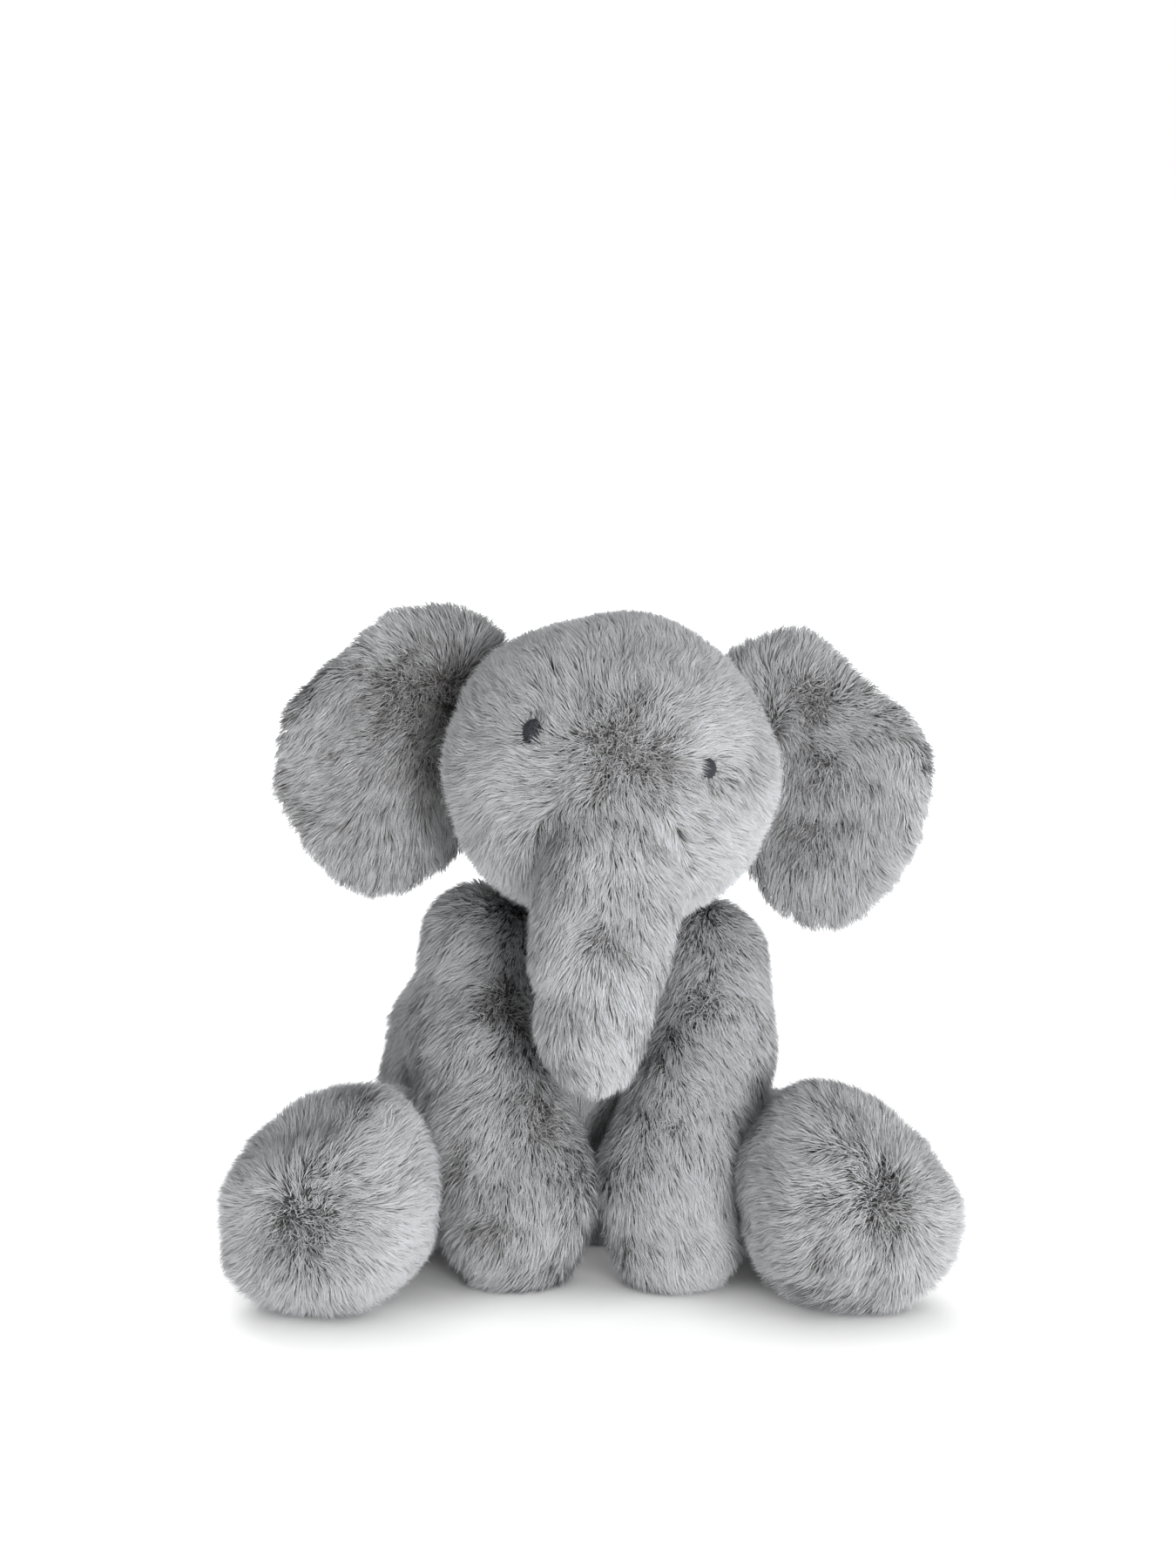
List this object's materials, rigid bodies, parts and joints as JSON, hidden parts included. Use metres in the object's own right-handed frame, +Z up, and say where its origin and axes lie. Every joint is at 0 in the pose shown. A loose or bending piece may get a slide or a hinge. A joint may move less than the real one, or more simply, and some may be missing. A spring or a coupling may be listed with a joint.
{
  "type": "stuffed elephant",
  "caption": "Sitting plush elephant with round cupped ears, a hanging trunk, floppy arms and splayed feet, weighted with pellets",
  "frame": {"origin": "middle of the footprint's bounding box, on the surface that it sits on", "axes": "+Z up, the face and the soles look along -Y, the elephant's own left side is at +X"},
  "size_m": [0.3012, 0.2226, 0.2837],
  "materials": {
    "plush": "matte",
    "filling": "matte",
    "pellets": "matte",
    "eye_thread": "satin"
  },
  "bodies": {
    "torso": {"belly_panel": "plush", "back_panel_left": "plush", "back_panel_right": "plush", "seat_panel": "plush", "torso_stuffing": "filling", "seat_pellet_bag": "pellets"},
    "neck": {"neck_stuffing": "filling"},
    "head": {"forehead_gusset": "plush", "chin_panel": "plush", "cheek_panel_right": "plush", "cheek_panel_left": "plush", "head_back_panel": "plush", "head_stuffing": "filling", "eye_right": "eye_thread", "eye_left": "eye_thread"},
    "ear_right": {"ear_front_panel_right": "plush", "ear_back_panel_right": "plush", "ear_batting_right": "filling"},
    "ear_left": {"ear_front_panel_left": "plush", "ear_back_panel_left": "plush", "ear_batting_left": "filling"},
    "trunk": {"trunk_panel_left": "plush", "trunk_panel_right": "plush", "trunk_stuffing": "filling"},
    "trunk_tip": {"trunk_tip_panel_left": "plush", "trunk_tip_panel_right": "plush", "trunk_end_patch": "plush", "trunk_tip_stuffing": "filling"},
    "arm_right": {"arm_front_panel_right": "plush", "arm_back_panel_right": "plush", "paw_sole_right": "plush", "arm_stuffing_right": "filling", "paw_pellet_bag_right": "pellets"},
    "arm_left": {"arm_front_panel_left": "plush", "arm_back_panel_left": "plush", "paw_sole_left": "plush", "arm_stuffing_left": "filling", "paw_pellet_bag_left": "pellets"},
    "leg_right": {"leg_top_panel_right": "plush", "leg_under_panel_right": "plush", "foot_sole_right": "plush", "leg_stuffing_right": "filling", "foot_pellet_bag_right": "pellets"},
    "leg_left": {"leg_top_panel_left": "plush", "leg_under_panel_left": "plush", "foot_sole_left": "plush", "leg_stuffing_left": "filling", "foot_pellet_bag_left": "pellets"},
    "tail": {"tail_strip": "plush", "tail_tuft": "plush"}
  },
  "joints": [
    {"name": "neck_turn", "type": "hinge", "parent": "torso", "child": "neck", "pos_m": [0.00257, 0.01483, 0.16], "axis": [0, 0, 1], "range_deg": [-20, 20], "stiffness_Nm_per_rad": 1.2},
    {"name": "neck_nod", "type": "hinge", "parent": "neck", "child": "head", "pos_m": [0.00257, 0.01483, 0.16], "axis": [1, 0, 0], "range_deg": [-20, 4], "stiffness_Nm_per_rad": 2.5},
    {"name": "ear_right_flap", "type": "hinge", "parent": "head", "child": "ear_right", "pos_m": [-0.03893, 0.01383, 0.2205], "axis": [0, 0, 1], "range_deg": [-45, 22], "stiffness_Nm_per_rad": 0.12},
    {"name": "ear_left_flap", "type": "hinge", "parent": "head", "child": "ear_left", "pos_m": [0.06057, 0.01383, 0.2175], "axis": [0, 0, -1], "range_deg": [-45, 22], "stiffness_Nm_per_rad": 0.12},
    {"name": "trunk_lift", "type": "hinge", "parent": "head", "child": "trunk", "pos_m": [0.00857, -0.06817, 0.195], "axis": [-1, 0, 0], "range_deg": [-5, 42], "stiffness_Nm_per_rad": 0.25},
    {"name": "trunk_curl", "type": "hinge", "parent": "trunk", "child": "trunk_tip", "pos_m": [0.00257, -0.08817, 0.131], "axis": [-1, 0, 0], "range_deg": [-12, 55], "stiffness_Nm_per_rad": 0.1},
    {"name": "arm_right_swing", "type": "hinge", "parent": "torso", "child": "arm_right", "pos_m": [-0.04543, -0.00617, 0.14], "axis": [-0.9889, 0.1483, 0], "range_deg": [0, 40], "stiffness_Nm_per_rad": 0.3},
    {"name": "arm_left_swing", "type": "hinge", "parent": "torso", "child": "arm_left", "pos_m": [0.04857, -0.00617, 0.135], "axis": [-0.9889, -0.1483, 0], "range_deg": [0, 40], "stiffness_Nm_per_rad": 0.3},
    {"name": "leg_right_splay", "type": "hinge", "parent": "torso", "child": "leg_right", "pos_m": [-0.07043, 0.02683, 0.034], "axis": [0, 0, -1], "range_deg": [0, 32], "stiffness_Nm_per_rad": 0.3},
    {"name": "leg_left_splay", "type": "hinge", "parent": "torso", "child": "leg_left", "pos_m": [0.06957, 0.02683, 0.034], "axis": [0, 0, 1], "range_deg": [0, 32], "stiffness_Nm_per_rad": 0.3},
    {"name": "tail_lift", "type": "hinge", "parent": "torso", "child": "tail", "pos_m": [-0.00543, 0.09983, 0.06], "axis": [1, 0, 0], "range_deg": [0, 65], "stiffness_Nm_per_rad": 0.02}
  ]
}
